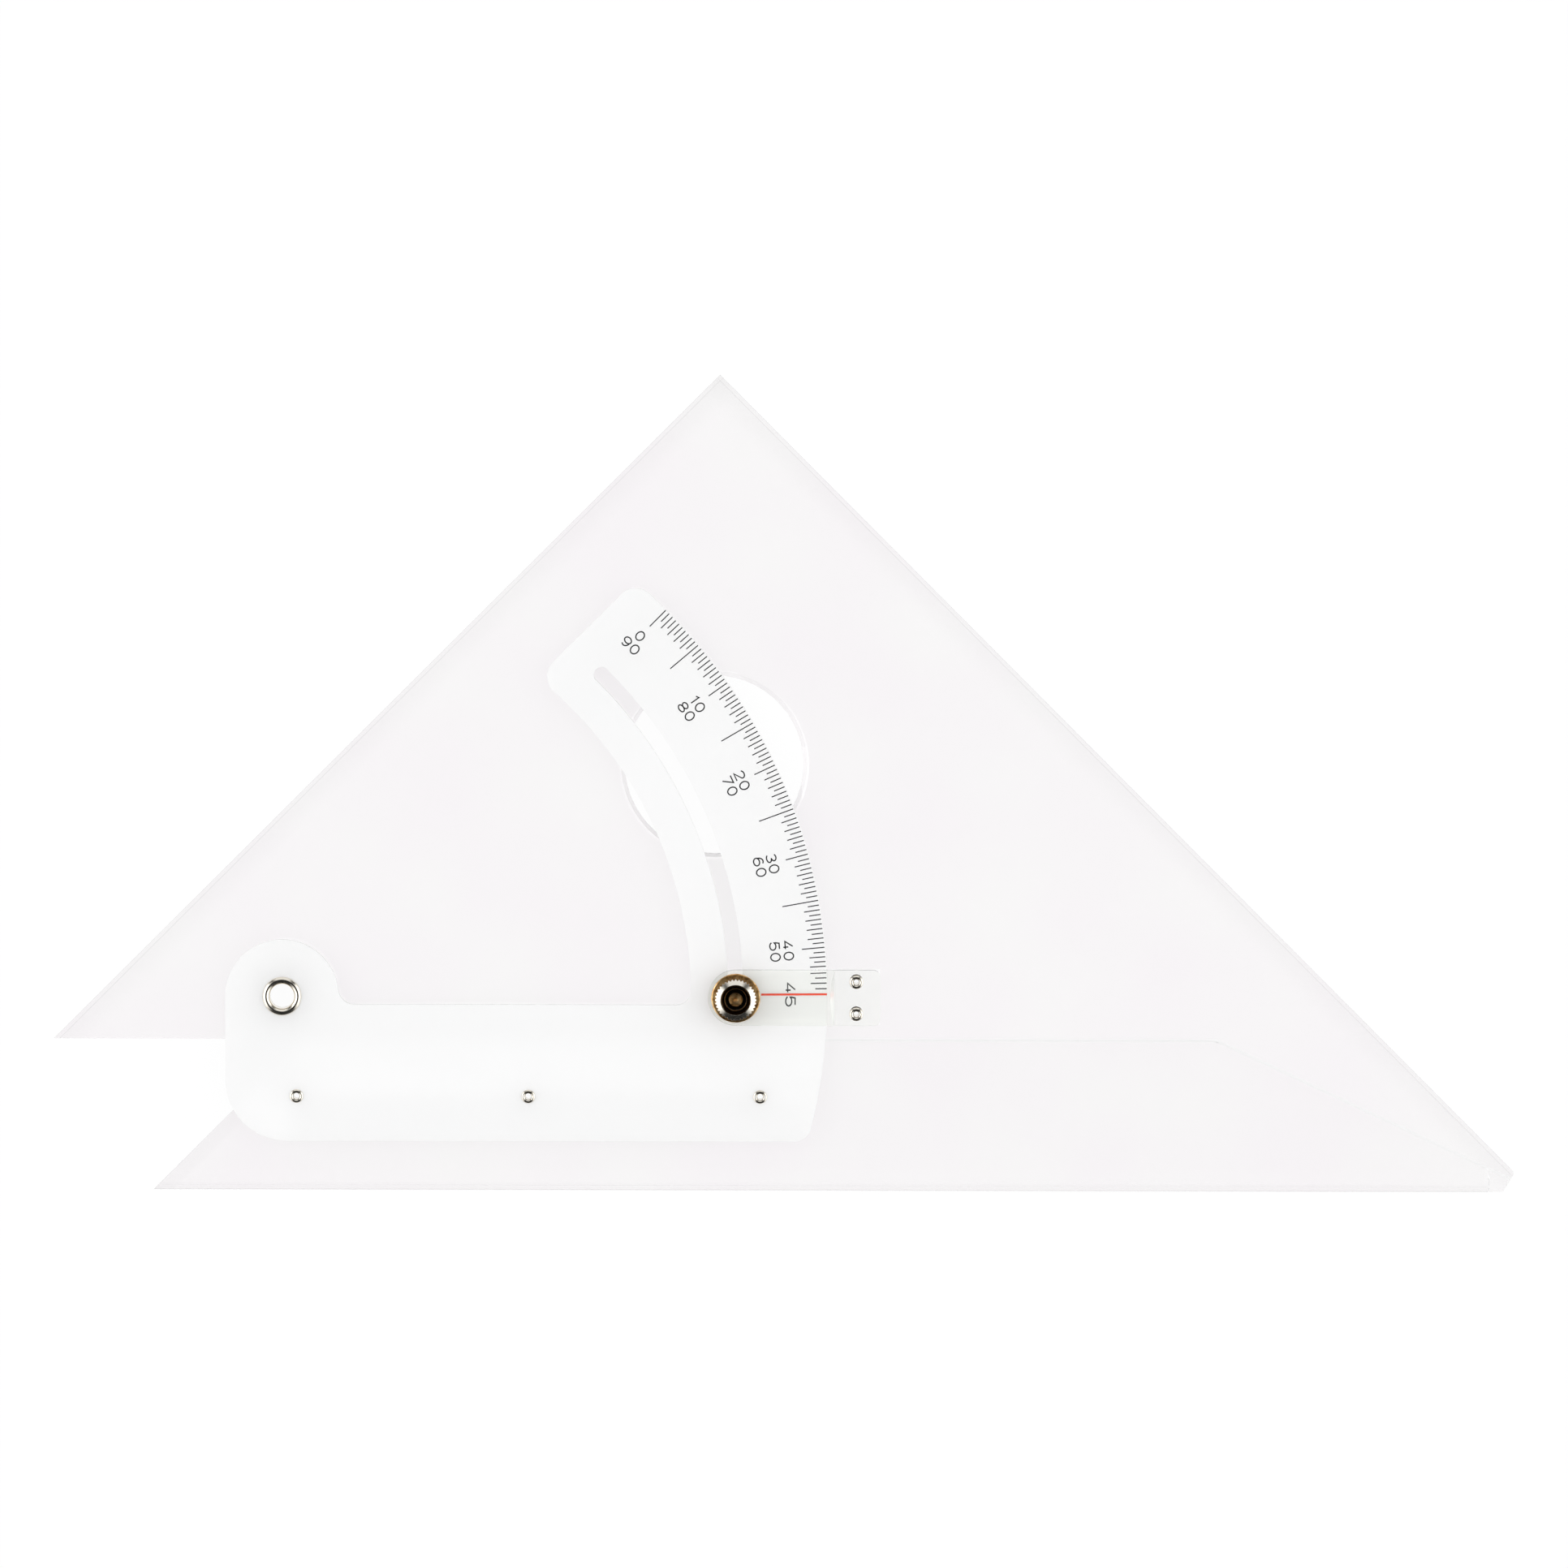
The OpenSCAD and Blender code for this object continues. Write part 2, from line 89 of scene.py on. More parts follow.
# Looks from the stand to the aim. The lens is the sensor's width times the distance over the picture's width.
def makeCamera(c):
    data = bpy.data.cameras.new("camera")
    stand = bpy.data.objects.new("camera", data)
    bpy.context.scene.collection.objects.link(stand)
    bpy.context.scene.camera = stand
    distance = math.hypot(c["lean"], c["height"])
    data.sensor_width = c["sensor"]
    data.lens = c["sensor"] * distance / c["frame"]
    data.clip_start, data.clip_end = c["clip"]
    stand.location = [(a + b) * mm for a, b in zip(c["aim"], (0, c["lean"], c["height"]))]
    tilt = Matrix.Rotation(-math.atan2(c["lean"], c["height"]), 3, "X")
    roll = Matrix.Rotation(math.radians(c["roll"]), 3, "Z")
    stand.rotation_euler = (tilt @ roll).to_euler()


makeCamera(camera)

studio = {
    "boxes": [  # middle and size in mm, power in W: a broad soft box on each side
        {"at": (-1300, 200, 1200), "size": 1200, "power": 6.0},
        {"at": (1500, 100, 1200), "size": 1200, "power": 5.3},
    ],
    "tent": 1.0,  # strength of the plain white tent round the table
    "room": 1.5,  # strength of the room that metal and acrylic mirror, of which about half is dark
    "wall": [  # from in front, where it is dark, past pale sides and a dark gap to a pale panel behind
        (0.0, "#141414"), (0.2, "#242424"), (0.32, "#ffffff"), (0.68, "#ffffff"), (0.75, "#505050"),
        (0.80, "#505050"), (0.87, "#d0d0d0"), (1.0, "#d0d0d0"),
    ],
    "ceiling": [  # from the side to straight up, where there is a dark hole round the camera
        (0.0, "#ffffff"), (0.88, "#ffffff"), (0.95, "#242424"), (1.0, "#141414"),
    ],
    "paper": "#f7f7f7",
    "floorGlow": 0.95,  # share of the floor's white that is the light table's own
    "floorReach": 4000,  # mm from the pivot to each side
    "floorLevel": -0.2,
}


def colourStops(stops):
    return [(position, hexColour(colour)) for position, colour in stops]


def makeStudio(s):
    scene = bpy.context.scene
    for number, box in enumerate(s["boxes"]):
        data = bpy.data.lights.new(f"softBox{number}", "AREA")
        data.shape, data.size, data.energy = "SQUARE", box["size"] * mm, box["power"]
        lamp = bpy.data.objects.new(data.name, data)
        scene.collection.objects.link(lamp)
        at = np.array(box["at"]) * mm
        lamp.location = at
        away = at - np.array(camera["aim"]) * mm
        lean = math.atan2(math.hypot(away[0], away[1]), away[2])
        lamp.rotation_euler = (lean, 0, math.atan2(away[1], away[0]) + math.pi / 2)
    world = bpy.data.worlds.new("studio")
    scene.world = world
    world.use_nodes = True
    tree = world.node_tree
    tree.nodes.clear()
    place = addNode(tree, "ShaderNodeTexCoord")
    axes = addNode(tree, "ShaderNodeSeparateXYZ", links={0: place.outputs["Generated"]})
    # the compass angle from in front to behind, the same to the left and right: arctan2(y, |x|)
    aside = addNode(tree, "ShaderNodeMath", {"operation": "ABSOLUTE"}, {0: axes.outputs["X"]})
    compass = addNode(tree, "ShaderNodeMath", {"operation": "ARCTAN2"},
                      {0: axes.outputs["Y"], 1: aside.outputs[0]})
    compass = addNode(tree, "ShaderNodeMapRange", {"From Min": -math.pi / 2, "From Max": math.pi / 2},
                      {"Value": compass.outputs[0]})
    wall = addNode(tree, "ShaderNodeValToRGB", {"stops": colourStops(s["wall"])}, {0: compass.outputs[0]})
    ceiling = addNode(tree, "ShaderNodeValToRGB", {"stops": colourStops(s["ceiling"])},
                      {0: axes.outputs["Z"]})
    both = addNode(tree, "ShaderNodeMix", {"data_type": "RGBA", "blend_type": "MULTIPLY", 0: 1.0},
                   {6: wall.outputs["Color"], 7: ceiling.outputs["Color"]})
    room = addNode(tree, "ShaderNodeBackground", {"Strength": s["room"]}, {"Color": both.outputs[2]})
    # the tent lights the object and is the backdrop, the room shows only in what is shiny or clear
    tent = addNode(tree, "ShaderNodeBackground", {"Color": (1, 1, 1, 1), "Strength": s["tent"]})
    path = addNode(tree, "ShaderNodeLightPath")
    mirrored = addNode(tree, "ShaderNodeMath", {"operation": "MAXIMUM"},
                       {0: path.outputs["Is Glossy Ray"], 1: path.outputs["Is Transmission Ray"]})
    mix = addNode(tree, "ShaderNodeMixShader",
                  links={0: mirrored.outputs[0], 1: tent.outputs[0], 2: room.outputs[0]})
    addNode(tree, "ShaderNodeOutputWorld", links={"Surface": mix.outputs[0]})


makeStudio(studio)


# A piece from points in metres and faces that number them
def addMesh(name, points, faces, material, body=None):
    mesh = bpy.data.meshes.new(name)
    mesh.from_pydata(np.asarray(points, float).tolist(), [], np.asarray(faces, int).tolist())
    mesh.materials.append(material)
    piece = bpy.data.objects.new(name, mesh)
    bpy.context.scene.collection.objects.link(piece)
    if body:
        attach(piece, body)
    return piece


# Paper laid on a light table: plain white, of which most is its own light, so it keeps only a faint shadow.
def makeFloor(s):
    material, tree = newMaterial("white paper on a light table")
    paper = addNode(tree, "ShaderNodeBsdfDiffuse", {"Color": hexColour(s["paper"])})
    glow = addNode(tree, "ShaderNodeEmission", {"Color": (1, 1, 1, 1), "Strength": 1.0})
    path = addNode(tree, "ShaderNodeLightPath")
    seen = addNode(tree, "ShaderNodeMath", {"operation": "MAXIMUM"},
                   {0: path.outputs["Is Camera Ray"], 1: path.outputs["Is Glossy Ray"]})
    seen = addNode(tree, "ShaderNodeMath", {"operation": "MAXIMUM"},
                   {0: seen.outputs[0], 1: path.outputs["Is Transmission Ray"]})
    share = addNode(tree, "ShaderNodeMath", {"operation": "MULTIPLY", 1: s["floorGlow"]},
                    {0: seen.outputs[0]})
    mix = addNode(tree, "ShaderNodeMixShader",
                  links={0: share.outputs[0], 1: paper.outputs[0], 2: glow.outputs[0]})
    addNode(tree, "ShaderNodeOutputMaterial", links={"Surface": mix.outputs[0]})
    reach, level = s["floorReach"], s["floorLevel"]
    corners = [(-reach, -reach, level), (reach, -reach, level), (reach, reach, level), (-reach, reach, level)]
    addMesh("floor", np.array(corners) * mm, [(0, 1, 2, 3)], material)


makeFloor(studio)
print("camera, lights and floor made")

# Materials. Sheets first: an edge's line is given by its direction and its distance from the pivot in mm.
slant = math.sqrt(0.5)
paintedShadeReach = 6  # mm from an edge over which its painted shade runs
clampAxis = 100.2  # mm along X from the pivot to the clamp screw

castSheet = {  # what the triangle and the ruler share
    "thick": "#fefbfd",  # the trace of colour, where it is strongest and weakest
    "thin": "#fffefe",
    "drift": 30,  # mm over which it changes
    "dust": "#f4f1f3",
    "haze": 0.05,  # share of dust and fine scratches
    "passes": 0.99,  # share of the light that each face lets through to what lies below
}
spacerJoint = {"middle": (126.79, 0, 4.0), "half": (5.33, 6.17, 1.13)}  # mm, round its two cemented faces
seam = {  # where the triangle's edge meets the ruler's
    "lines": [((0, 1), -9.7), ((0.4253, 0.9050), 79.13)],  # level, then down the taper at 25.17 degrees
    "from": 0,  # mm along X
    "reach": 0.35,  # mm to each side
    "share": 0.8,  # of the light that goes straight on
    "passes": 0.957,
}

# each painted edge shade: an edge's line, and stops of mm from it and the share of the tint left there; the
# rest is painted shade and painted dark lines
legPaintedShade = [(0, 0.80), (0.12, 0.97), (0.8, 0.97), (0.9, 0.86), (1.05, 0.96), (3.5, 0.98), (4.6, 0.99), (6, 1)]
basePaintedShade = [(0, 0.80), (0.15, 0.97), (1.2, 0.97), (1.6, 1.0), (4.4, 1.0), (4.8, 0.995)]
cutPaintedShade = [(0, 0.9), (0.15, 0.965), (2.8, 0.975), (3.4, 0.995)]

triangleSheet = {
    **castSheet,
    "name": "cast acrylic sheet triangle",
    # painted shade and painted dark lines beside the triangle's two legs
    "paintedEdgeShades": [((-slant, slant), 28.9, legPaintedShade), ((slant, slant), 165.3, legPaintedShade)],
    "joint": spacerJoint,
    "seam": seam,
}
rulerSheet = {
    **castSheet,
    "name": "cast acrylic sheet ruler",
    # painted shade and painted dark lines beside the ruler's base and its cut end
    "paintedEdgeShades": [((0, -1), 43.0, basePaintedShade), ((-slant, slant), -10.35, cutPaintedShade)],
    "seam": seam,
}
mouldedWindow = {
    "name": "moulded acrylic window",
    "thick": "#fcfefa",
    "thin": "#fefffc",
    "drift": 30,
    "dust": "#fdfffb",
    "haze": 0.02,
    "passes": 1.0,
    "paintedEdgeShades": [],
    "joint": spacerJoint,
    "satinEnd": {"beyond": 120.4, "above": 7.15, "roughness": 0.45},  # mm along X and Z: the lens's end
}


# Paints shade into a tint beside edges, by the distance from each edge's line: its offset less the dot
# product of the place with its direction.
def addBands(tree, place, tint, paintedEdgeShades):
    for direction, offset, stops in paintedEdgeShades:
        along = addNode(tree, "ShaderNodeVectorMath", {"operation": "DOT_PRODUCT", 1: (*direction, 0)},
                        {0: place})
        depth = addNode(tree, "ShaderNodeMapRange", {
            "From Min": offset * mm, "From Max": (offset - paintedShadeReach) * mm,
        }, {"Value": along.outputs["Value"]})
        ramp = addNode(tree, "ShaderNodeValToRGB", {
            "stops": [(distance / paintedShadeReach, (left, left, left, 1)) for distance, left in stops],
        }, {0: depth.outputs[0]})
        darker = addNode(tree, "ShaderNodeMix", {"data_type": "RGBA", "blend_type": "MULTIPLY", 0: 1.0},
                         {6: tint, 7: ramp.outputs["Color"]})
        tint = darker.outputs[2]
    return tint


# 1 inside a box, which is where the largest of the three distances from its middle, each over its half size,
# is under 1
def insideBox(tree, place, box):
    middle, half = [[v * mm for v in box[key]] for key in ("middle", "half")]
    away = addNode(tree, "ShaderNodeVectorMath", {"operation": "SUBTRACT", 1: middle}, {0: place})
    away = addNode(tree, "ShaderNodeVectorMath", {"operation": "DIVIDE", 1: half}, {0: away.outputs[0]})
    away = addNode(tree, "ShaderNodeVectorMath", {"operation": "ABSOLUTE"}, {0: away.outputs[0]})
    axes = addNode(tree, "ShaderNodeSeparateXYZ", links={0: away.outputs[0]})
    most = addNode(tree, "ShaderNodeMath", {"operation": "MAXIMUM"}, {0: axes.outputs[0], 1: axes.outputs[1]})
    most = addNode(tree, "ShaderNodeMath", {"operation": "MAXIMUM"}, {0: most.outputs[0], 1: axes.outputs[2]})
    inside = addNode(tree, "ShaderNodeMath", {"operation": "LESS_THAN", 1: 1.0}, {0: most.outputs[0]})
    return inside.outputs[0]


# The seam's share of straight light within its reach, and none elsewhere. The distance from it is the larger
# of the place's heights above its two lines.
def alongSeam(tree, place, s):
    heights = []
    for direction, offset in s["lines"]:
        along = addNode(tree, "ShaderNodeVectorMath", {"operation": "DOT_PRODUCT", 1: (*direction, 0)},
                        {0: place})
        height = addNode(tree, "ShaderNodeMath", {"operation": "SUBTRACT", 1: offset * mm},
                         {0: along.outputs["Value"]})
        heights.append(height.outputs[0])
    above = addNode(tree, "ShaderNodeMath", {"operation": "MAXIMUM"}, {0: heights[0], 1: heights[1]})
    away = addNode(tree, "ShaderNodeMath", {"operation": "ABSOLUTE"}, {0: above.outputs[0]})
    near = addNode(tree, "ShaderNodeMath", {"operation": "LESS_THAN", 1: s["reach"] * mm},
                   {0: away.outputs[0]})
    axes = addNode(tree, "ShaderNodeSeparateXYZ", links={0: place})
    right = addNode(tree, "ShaderNodeMath", {"operation": "GREATER_THAN", 1: s["from"] * mm},
                    {0: axes.outputs[0]})
    both = addNode(tree, "ShaderNodeMath", {"operation": "MULTIPLY"},
                   {0: near.outputs[0], 1: right.outputs[0]})
    share = addNode(tree, "ShaderNodeMath", {"operation": "MULTIPLY", 1: s["share"]}, {0: both.outputs[0]})
    return share.outputs[0]


# The satin end's roughness beyond its X and above its Z, and 0 elsewhere
def satinRoughness(tree, place, end):
    axes = addNode(tree, "ShaderNodeSeparateXYZ", links={0: place})
    beyond = addNode(tree, "ShaderNodeMath", {"operation": "GREATER_THAN", 1: end["beyond"] * mm},
                     {0: axes.outputs[0]})
    above = addNode(tree, "ShaderNodeMath", {"operation": "GREATER_THAN", 1: end["above"] * mm},
                    {0: axes.outputs[2]})
    both = addNode(tree, "ShaderNodeMath", {"operation": "MULTIPLY"},
                   {0: beyond.outputs[0], 1: above.outputs[0]})
    rough = addNode(tree, "ShaderNodeMath", {"operation": "MULTIPLY", 1: end["roughness"]},
                    {0: both.outputs[0]})
    return rough.outputs[0]


# Acrylic (PMMA), cast or moulded, and polished: clear, with a trace of colour that drifts over a few
# centimetres, and a thin haze. Beside its edges the tint is painted darker, with painted dark lines: painted
# shade for the light that its edges gather. The light of lamps and of matt things goes straight through. A
# cemented face neither bends nor mirrors light, and where two polished edges meet, most light goes straight
# on, so that their seam is only a faint line.
def clearAcrylic(sheet):
    material, tree = newMaterial(sheet["name"])
    place = addNode(tree, "ShaderNodeTexCoord").outputs["Object"]
    cast = addNode(tree, "ShaderNodeTexNoise", {"Scale": 1 / (sheet["drift"] * mm), "Detail": 1.0},
                   {"Vector": place})
    colours = colourStops([(0.3, sheet["thick"]), (0.7, sheet["thin"])])
    tint = addNode(tree, "ShaderNodeValToRGB", {"stops": colours}, {0: cast.outputs[0]})
    # the tint is painted darker beside the edges: painted shade and painted dark lines
    tint = addBands(tree, place, tint.outputs["Color"], sheet["paintedEdgeShades"])
    glass = addNode(tree, "ShaderNodeBsdfPrincipled", {
        "Transmission Weight": 1.0, "IOR": 1.49, "Roughness": 0.0,
    }, {"Base Color": tint})
    if "satinEnd" in sheet:
        tree.links.new(satinRoughness(tree, place, sheet["satinEnd"]), glass.inputs["Roughness"])
    dust = addNode(tree, "ShaderNodeBsdfDiffuse", {"Color": hexColour(sheet["dust"])})
    body = addNode(tree, "ShaderNodeMixShader", {0: sheet["haze"]}, {1: glass.outputs[0], 2: dust.outputs[0]})
    clear = addNode(tree, "ShaderNodeBsdfTransparent", {"Color": (*[sheet["passes"]] * 3, 1)})
    path = addNode(tree, "ShaderNodeLightPath")
    lit = addNode(tree, "ShaderNodeMath", {"operation": "MAXIMUM"},
                  {0: path.outputs["Is Shadow Ray"], 1: path.outputs["Is Diffuse Ray"]})
    mix = addNode(tree, "ShaderNodeMixShader",
                  links={0: lit.outputs[0], 1: body.outputs[0], 2: clear.outputs[0]})
    if "joint" in sheet:
        through = addNode(tree, "ShaderNodeBsdfTransparent", {"Color": (1, 1, 1, 1)})
        inside = insideBox(tree, place, sheet["joint"])
        mix = addNode(tree, "ShaderNodeMixShader",
                      links={0: inside, 1: mix.outputs[0], 2: through.outputs[0]})
    if "seam" in sheet:
        straight = addNode(tree, "ShaderNodeBsdfTransparent", {"Color": (*[sheet["seam"]["passes"]] * 3, 1)})
        share = alongSeam(tree, place, sheet["seam"])
        mix = addNode(tree, "ShaderNodeMixShader",
                      links={0: share, 1: mix.outputs[0], 2: straight.outputs[0]})
    addNode(tree, "ShaderNodeOutputMaterial", links={"Surface": mix.outputs[0]})
    return material


opalSheet = {
    "colour": "#f6f6f6",
    "grain": 0.25,  # mm, size of the satin's grain
    "height": 0.02,
    "roughness": 0.38,
    "through": 0.3,  # share of the light that comes out at the back
}


# Opal acrylic, milled and satin on its faces: white all through, it lets a third of the light through and
# spreads it.
def opalAcrylic(sheet):
    material, tree = newMaterial("opal acrylic sheet")
    place = addNode(tree, "ShaderNodeTexCoord").outputs["Object"]
    grain = addNode(tree, "ShaderNodeTexNoise", {"Scale": 1 / (sheet["grain"] * mm), "Detail": 3.0},
                    {"Vector": place})
    bump = addNode(tree, "ShaderNodeBump", {"Strength": 0.05, "Distance": sheet["height"] * mm},
                   {"Height": grain.outputs[0]})
    face = addNode(tree, "ShaderNodeBsdfPrincipled", {
        "Base Color": hexColour(sheet["colour"]), "Roughness": sheet["roughness"], "IOR": 1.49,
    }, {"Normal": bump.outputs[0]})
    depth = addNode(tree, "ShaderNodeBsdfTranslucent", {"Color": hexColour("#ffffff")})
    mix = addNode(tree, "ShaderNodeMixShader", {0: sheet["through"]},
                  {1: face.outputs[0], 2: depth.outputs[0]})
    addNode(tree, "ShaderNodeOutputMaterial", links={"Surface": mix.outputs[0]})
    return material


nickel = {
    "colour": "#e8e2d6",
    "marks": 0.4,  # mm, size of the polishing marks
    "roughness": (0.10, 0.24),
}
dish = {  # inside the nut: painted shade in its dish, and a painted highlight ring at its step
    "reach": 4,  # mm from the axis that the stops below cover
    "plateAndHighlight": [(2.28, 0), (2.33, 1), (2.50, 1), (2.56, 0), (3.27, 0), (3.30, 1)],  # mm from it, 1 is the plate's own colour, 0 is painted shade; the ring from 2.33 to 2.50 is a painted highlight
    # the browns of the painted shade, in specks
    "paintedShadeBrowns": [(0.52, "#2c2118"), (0.70, "#6b5236")],
    "specks": 0.12,  # mm
}


# Bright nickel plate over brass: a pale warm mirror, with fine polishing marks that blur it a little. Inside
# the nut's dish, by the distance from its axis, the colour is painted brown with specks as painted shade, and
# a ring of the plate's colour at its step is a painted highlight.
def nickelPlate(name, dishPaint=None):
    material, tree = newMaterial(name)
    place = addNode(tree, "ShaderNodeTexCoord").outputs["Object"]
    marks = addNode(tree, "ShaderNodeTexNoise", {"Scale": 1 / (nickel["marks"] * mm), "Detail": 4.0},
                    {"Vector": place})
    low, high = nickel["roughness"]
    blur = addNode(tree, "ShaderNodeMapRange", {"To Min": low, "To Max": high}, {"Value": marks.outputs[0]})
    plate = hexColour(nickel["colour"])
    metal = addNode(tree, "ShaderNodeBsdfPrincipled", {"Base Color": plate, "Metallic": 1.0},
                    {"Roughness": blur.outputs[0]})
    # painted shade and a painted highlight ring in the nut's dish, by the distance from its axis
    if dishPaint:
        flat = addNode(tree, "ShaderNodeVectorMath", {
            "operation": "MULTIPLY_ADD", 1: (1, 1, 0), 2: (-clampAxis * mm, 0, 0),
        }, {0: place})
        away = addNode(tree, "ShaderNodeVectorMath", {"operation": "LENGTH"}, {0: flat.outputs[0]})
        away = addNode(tree, "ShaderNodeMapRange", {"From Max": dishPaint["reach"] * mm},
                       {"Value": away.outputs["Value"]})
        specks = addNode(tree, "ShaderNodeTexNoise", {"Scale": 1 / (dishPaint["specks"] * mm), "Detail": 2.0},
                         {"Vector": place})
        paintedShadeBrown = addNode(tree, "ShaderNodeValToRGB", {"stops": colourStops(dishPaint["paintedShadeBrowns"])},
                        {0: specks.outputs[0]})
        bright = addNode(tree, "ShaderNodeValToRGB", {
            "stops": [(radius / dishPaint["reach"], (left, left, left, 1)) for radius, left in dishPaint["plateAndHighlight"]],
        }, {0: away.outputs[0]})
        colour = addNode(tree, "ShaderNodeMix", {"data_type": "RGBA", 7: plate},
                         {0: bright.outputs["Color"], 6: paintedShadeBrown.outputs["Color"]})
        tree.links.new(colour.outputs[2], metal.inputs["Base Color"])
    addNode(tree, "ShaderNodeOutputMaterial", links={"Surface": metal.outputs[0]})
    return material


brass = {
    "stain": 1.1,  # mm, size of the stained patches
    "colours": [(0.34, "#9a7040"), (0.46, "#d3a46a"), (0.60, "#ecc68e")],
    "groove": 0.16,  # mm from one groove to the next
    "height": 0.01,
    "waveUnit": 0.314,  # a wave texture's rings lie this far apart at scale 1
}


# Brass turned on a lathe: golden, browner where fingers have stained it, in patches of about a millimetre.
# Its grooves draw each light out into a fan across them, along the way out from its axis.
def turnedBrass(name, roughness, grooving):
    material, tree = newMaterial(name)
    place = addNode(tree, "ShaderNodeTexCoord").outputs["Object"]
    centred = addNode(tree, "ShaderNodeMapping", {"Location": (-clampAxis * mm, 0, 0)}, {"Vector": place})
    grooves = addNode(tree, "ShaderNodeTexWave", {
        "wave_type": "RINGS", "rings_direction": "Z", "Scale": brass["waveUnit"] / (brass["groove"] * mm),
        "Distortion": 0.6, "Detail": 2.0, "Detail Scale": 2.0,
    }, {"Vector": centred.outputs[0]})
    bump = addNode(tree, "ShaderNodeBump", {"Strength": 0.25, "Distance": brass["height"] * mm},
                   {"Height": grooves.outputs[1]})
    outwards = addNode(tree, "ShaderNodeVectorMath", {"operation": "MULTIPLY", 1: (1, 1, 0)},
                       {0: centred.outputs[0]})
    outwards = addNode(tree, "ShaderNodeVectorTransform", {
        "vector_type": "VECTOR", "convert_from": "OBJECT", "convert_to": "WORLD",
    }, {"Vector": outwards.outputs[0]})
    outwards = addNode(tree, "ShaderNodeVectorMath", {"operation": "NORMALIZE"}, {0: outwards.outputs[0]})
    stain = addNode(tree, "ShaderNodeTexNoise", {"Scale": 1 / (brass["stain"] * mm), "Detail": 4.0},
                    {"Vector": place})
    golden = addNode(tree, "ShaderNodeValToRGB", {"stops": colourStops(brass["colours"])},
                     {0: stain.outputs[0]})
    metal = addNode(tree, "ShaderNodeBsdfPrincipled", {
        "Metallic": 1.0, "Roughness": roughness, "Anisotropic": grooving,
    }, {"Base Color": golden.outputs["Color"], "Normal": bump.outputs[0], "Tangent": outwards.outputs[0]})
    addNode(tree, "ShaderNodeOutputMaterial", links={"Surface": metal.outputs[0]})
    return material


inks = {
    "black": ("#101012", "#2a2a2c"),  # where it covers well, where it is thin
    "red": ("#e42e02", "#ee4a12"),
    "cover": 0.3,  # mm from one thin spot to the next
}


# Screen-printing ink, rolled on thin: matt, and a little paler in the tiny spots where it covers less.
def printedInk(name, colours):
    material, tree = newMaterial(name)
    place = addNode(tree, "ShaderNodeTexCoord").outputs["Object"]
    cover = addNode(tree, "ShaderNodeTexNoise", {"Scale": 1 / (inks["cover"] * mm), "Detail": 2.0},
                    {"Vector": place})
    ramp = addNode(tree, "ShaderNodeValToRGB", {"stops": colourStops(zip((0.35, 0.75), colours))},
                   {0: cover.outputs[0]})
    shade = addNode(tree, "ShaderNodeBsdfPrincipled", {"Roughness": 0.5, "IOR": 1.5},
                    {"Base Color": ramp.outputs["Color"]})
    addNode(tree, "ShaderNodeOutputMaterial", links={"Surface": shade.outputs[0]})
    return material


blackInk = printedInk("black screen ink", inks["black"])
redInk = printedInk("red engraving paint", inks["red"])
finishes = {
    "ruler acrylic": clearAcrylic(rulerSheet),
    "triangle acrylic": clearAcrylic(triangleSheet),
    "window acrylic": clearAcrylic(mouldedWindow),
    "opal": opalAcrylic(opalSheet),
    "nickel": nickelPlate("bright nickel plate"),
    "nut nickel": nickelPlate("bright nickel plate nut", dish),
    "turned brass": turnedBrass("turned brass", 0.28, 0.85),
    "polished brass": turnedBrass("polished brass", 0.30, 0.5),
}
print("materials made")

parts = {  # body, material slot, finish, width of the softened edge in mm
    "base_ruler": ("ruler", "clear_acrylic", "ruler acrylic", 0),
    "scale_arm": ("ruler", "opal_acrylic", "opal", 0.20),
    "arm_rivet_left": ("ruler", "nickel_plate", "nickel", 0.08),
    "arm_rivet_middle": ("ruler", "nickel_plate", "nickel", 0.08),
    "arm_rivet_right": ("ruler", "nickel_plate", "nickel", 0.08),
    "pivot_eyelet": ("ruler", "nickel_plate", "nickel", 0.08),
    "pivot_washer": ("ruler", "nickel_plate", "nickel", 0.05),
    "triangle_plate": ("triangle", "clear_acrylic", "triangle acrylic", 0),
    "cursor_spacer": ("triangle", "clear_acrylic", "window acrylic", 0),
    "cursor_window": ("triangle", "clear_acrylic", "window acrylic", 0.08),
    "cursor_rivet_upper": ("triangle", "nickel_plate", "nickel", 0.08),
    "cursor_rivet_lower": ("triangle", "nickel_plate", "nickel", 0.08),
    "clamp_screw": ("triangle", "brass", "polished brass", 0.12),
    "clamp_washer": ("washer", "brass", "turned brass", 0.10),
    "clamp_nut": ("nut", "nickel_plate", "nut nickel", 0.05),
}
softening = {
    "steps": 1e7,  # to the metre: corners that round to the same step are joined
    "smoothBelow": 25,  # degrees
    "roundAbove": 40,
    "level": 0.9999,  # a face whose normal's Z is more than this stays flat
    "segments": 2,
}


